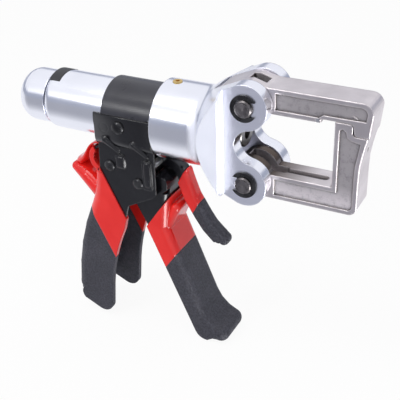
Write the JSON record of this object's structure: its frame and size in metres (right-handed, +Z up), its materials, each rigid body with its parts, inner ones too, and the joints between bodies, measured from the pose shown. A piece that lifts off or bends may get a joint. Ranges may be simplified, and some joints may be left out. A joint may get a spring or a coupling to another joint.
{
  "type": "hydraulic crimping tool",
  "caption": "Hand pumped hydraulic crimping tool: cylinder with a forked head, hinged window jaws for slide-in dies, squeeze pump lever, release trigger and dipped grips.",
  "frame": {"origin": "midway between the two jaw pins, on the cylinder's axis", "axes": "+X along the cylinder towards the jaws, +Z up away from the handles, +Y across the tool to its far side"},
  "size_m": [0.2447, 0.055, 0.1982],
  "materials": {
    "satin_aluminium": "fine turned satin",
    "seal_rubber": "matt",
    "brass": "turned",
    "black_label": "bare printed film, semi matt",
    "black_paint": "semi gloss",
    "red_dip": "glossy dipped vinyl",
    "grey_dip": "matt dipped vinyl",
    "plated_steel": "zinc plated",
    "black_steel": "blackened",
    "dark_steel": "hardened and oiled",
    "bright_steel": "ground",
    "spring_steel": "drawn",
    "cast_jaw": "forged, nickel plated, flanks machined"
  },
  "bodies": {
    "tool_frame": {"body": "satin_aluminium", "reservoir_tube": "satin_aluminium", "end_cap": "satin_aluminium", "oil_bladder": "seal_rubber", "filler_plug": "brass", "label_band": "black_label", "collar_strap": "black_paint", "handle_frame": "black_paint", "frame_red_coat": "red_dip", "frame_grey_grip": "grey_dip", "plate_rivet": "plated_steel", "plate_spacer": "plated_steel", "lever_pivot": "plated_steel", "pivot_spacers": "plated_steel", "collar_bolts": "black_steel", "upper_pin": "dark_steel", "lower_pin": "dark_steel", "e_clips": "black_steel", "pump_gland": "brass", "valve_bush": "brass", "release_pivot": "plated_steel", "rod_wiper": "seal_rubber", "ram_spring": "spring_steel", "plunger_seal": "seal_rubber", "plunger_spring": "spring_steel"},
    "ram": {"ram": "bright_steel", "piston_seal": "seal_rubber"},
    "pump_lever": {"pump_lever": "black_paint", "lever_red_coat": "red_dip", "lever_grey_grip": "grey_dip", "push_pin": "plated_steel"},
    "plunger": {"plunger": "bright_steel"},
    "release_lever": {"release_lever": "black_paint", "release_red_coat": "red_dip", "release_grey_tip": "grey_dip"},
    "release_pin": {"release_pin": "bright_steel"},
    "upper_jaw": {"upper_jaw": "cast_jaw", "die_stop_pin": "plated_steel"},
    "lower_jaw": {"lower_jaw": "cast_jaw"}
  },
  "joints": [
    {"name": "ram_slide", "type": "slide", "parent": "tool_frame", "child": "ram", "axis": [1, 0, 0], "range_m": [0, 0.025], "stiffness_N_per_m": 1500, "springref_m": -0.01, "deforming": ["ram_spring"]},
    {"name": "pump_lever_swing", "type": "hinge", "parent": "tool_frame", "child": "pump_lever", "pos_m": [-0.076, 0, -0.042], "axis": [0, 1, 0], "range_deg": [0, 30], "stiffness_Nm_per_rad": 2, "springref_deg": -17.19, "deforming": ["plunger_spring"]},
    {"name": "plunger_slide", "type": "slide", "parent": "tool_frame", "child": "plunger", "axis": [0, 0, 1], "range_m": [0, 0.0056]},
    {"name": "release_lever_swing", "type": "hinge", "parent": "tool_frame", "child": "release_lever", "pos_m": [-0.068, 0, -0.03], "axis": [0, 1, 0], "range_deg": [0, 6], "stiffness_Nm_per_rad": 2, "springref_deg": -5.73},
    {"name": "release_pin_slide", "type": "slide", "parent": "tool_frame", "child": "release_pin", "axis": [0, 0, 1], "range_m": [0, 0.001]},
    {"name": "upper_jaw_swing", "type": "hinge", "parent": "tool_frame", "child": "upper_jaw", "pos_m": [0, 0, 0.025], "axis": [0, -1, 0], "range_deg": [0, 42]},
    {"name": "lower_jaw_swing", "type": "hinge", "parent": "tool_frame", "child": "lower_jaw", "pos_m": [0, 0, -0.025], "axis": [0, 1, 0], "range_deg": [0, 8]}
  ],
  "couplings": [
    {"joint": "plunger_slide", "follows": "pump_lever_swing", "m_per_rad": 0.0105},
    {"joint": "release_pin_slide", "follows": "release_lever_swing", "m_per_rad": 0.0092},
    {"joint": "lower_jaw_swing", "follows": "upper_jaw_swing", "ratio": 0.19}
  ]
}
